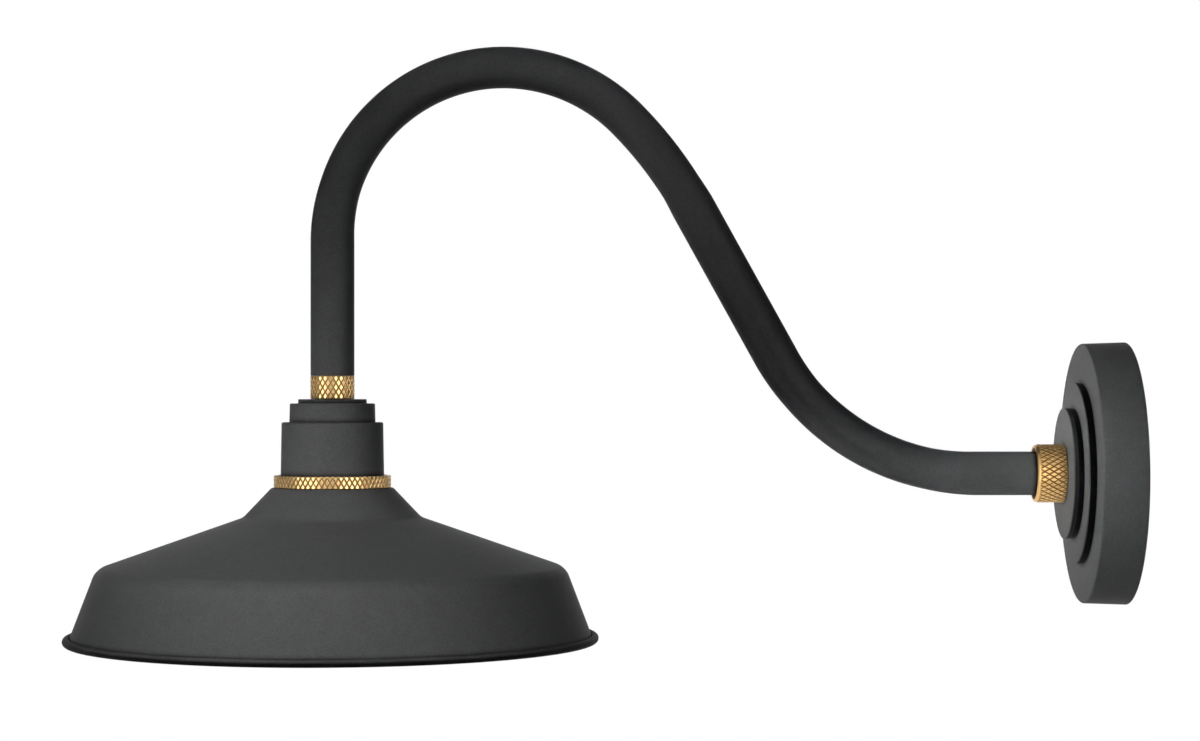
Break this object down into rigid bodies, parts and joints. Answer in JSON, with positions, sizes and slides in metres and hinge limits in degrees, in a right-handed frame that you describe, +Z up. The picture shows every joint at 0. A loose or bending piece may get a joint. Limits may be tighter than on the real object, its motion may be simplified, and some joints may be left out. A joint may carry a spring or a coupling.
{
  "type": "barn light",
  "caption": "Wall barn light: round stepped canopy, bent gooseneck arm, knurled ring nuts, lamp head and a wide dish shade that points down.",
  "frame": {"origin": "centre of the canopy's back face, on the wall plane", "axes": "+Y into the wall, so the arm reaches out along -Y; +Z up; X across the light, which is symmetric about X = 0"},
  "size_m": [0.3048, 0.6058, 0.3413],
  "materials": {
    "graphite_paint": "fine textured matte powder coat",
    "knurled_brass": "knurled, lightly polished",
    "turned_brass": "plain turned",
    "plated_steel": "zinc plated",
    "green_steel": "green dyed plating",
    "black_rubber": "matte",
    "porcelain": "glazed",
    "frosted_glass": "frosted white",
    "black_insulation": "smooth",
    "white_insulation": "smooth",
    "connector_plastic": "moulded",
    "lamp_cap_metal": "bright rolled",
    "lamp_glass_bead": "glossy"
  },
  "bodies": {
    "canopy": {"wall_canopy": "graphite_paint", "wall_gasket": "black_rubber", "mounting_bar": "plated_steel", "canopy_set_screws": "plated_steel", "ground_screw": "green_steel", "canopy_hub": "turned_brass", "hub_washer": "plated_steel", "hub_nut": "turned_brass"},
    "arm": {"gooseneck_arm": "graphite_paint", "arm_root_fitting": "turned_brass", "arm_root_seal": "black_rubber", "arm_tip_fitting": "turned_brass", "lead_live": "black_insulation", "lead_neutral": "white_insulation", "wire_connectors": "connector_plastic"},
    "wall_collar": {"wall_collar": "knurled_brass"},
    "arm_collar": {"arm_collar": "knurled_brass"},
    "head": {"socket_cap": "graphite_paint", "socket_cup": "graphite_paint", "arm_tip_seal": "black_rubber", "cup_seal_ring": "black_rubber", "socket_bracket": "plated_steel", "cap_screws": "plated_steel", "socket_body": "porcelain", "holder_screw": "plated_steel", "screw_shell": "turned_brass", "centre_contact": "turned_brass", "terminal_screws": "turned_brass", "socket_tails": "white_insulation", "lead_sleeves": "black_insulation"},
    "shade_ring": {"shade_ring": "knurled_brass"},
    "shade": {"shade": "graphite_paint", "shade_collar": "turned_brass"},
    "bulb_contact": {"bulb_button": "lamp_cap_metal"},
    "bulb": {"bulb_base": "lamp_cap_metal", "bulb_insulator": "lamp_glass_bead", "bulb_globe": "frosted_glass"}
  },
  "joints": [
    {"name": "arm_release", "type": "slide", "parent": "canopy", "child": "arm", "axis": [0, -1, 0], "range_m": [0, 0.0075]},
    {"name": "wall_collar_turn", "type": "hinge", "parent": "arm", "child": "wall_collar", "pos_m": [0, 0, 0], "axis": [0, -1, 0], "range_deg": [0, 1800]},
    {"name": "head_release", "type": "slide", "parent": "arm", "child": "head", "axis": [0, 0, -1], "range_m": [0, 0.0075]},
    {"name": "arm_collar_turn", "type": "hinge", "parent": "arm", "child": "arm_collar", "pos_m": [0, -0.45339, 0], "axis": [0, 0, 1], "range_deg": [0, 1800]},
    {"name": "shade_release", "type": "slide", "parent": "head", "child": "shade", "axis": [0, 0, -1], "range_m": [0, 0.003]},
    {"name": "shade_ring_turn", "type": "hinge", "parent": "head", "child": "shade_ring", "pos_m": [0, -0.45339, 0], "axis": [0, 0, 1], "range_deg": [0, 720]},
    {"name": "bulb_drop", "type": "slide", "parent": "head", "child": "bulb_contact", "axis": [0, 0, -1], "range_m": [0, 0.02177]},
    {"name": "bulb_turn", "type": "hinge", "parent": "bulb_contact", "child": "bulb", "pos_m": [0, -0.45339, 0], "axis": [0, 0, -1], "range_deg": [0, 2160]}
  ],
  "couplings": [
    {"joint": "wall_collar_turn", "follows": "arm_release", "rad_per_m": 4188.8},
    {"joint": "arm_collar_turn", "follows": "head_release", "rad_per_m": 4188.8},
    {"joint": "shade_ring_turn", "follows": "shade_release", "rad_per_m": 4188.8},
    {"joint": "bulb_turn", "follows": "bulb_drop", "rad_per_m": 1731.4}
  ]
}
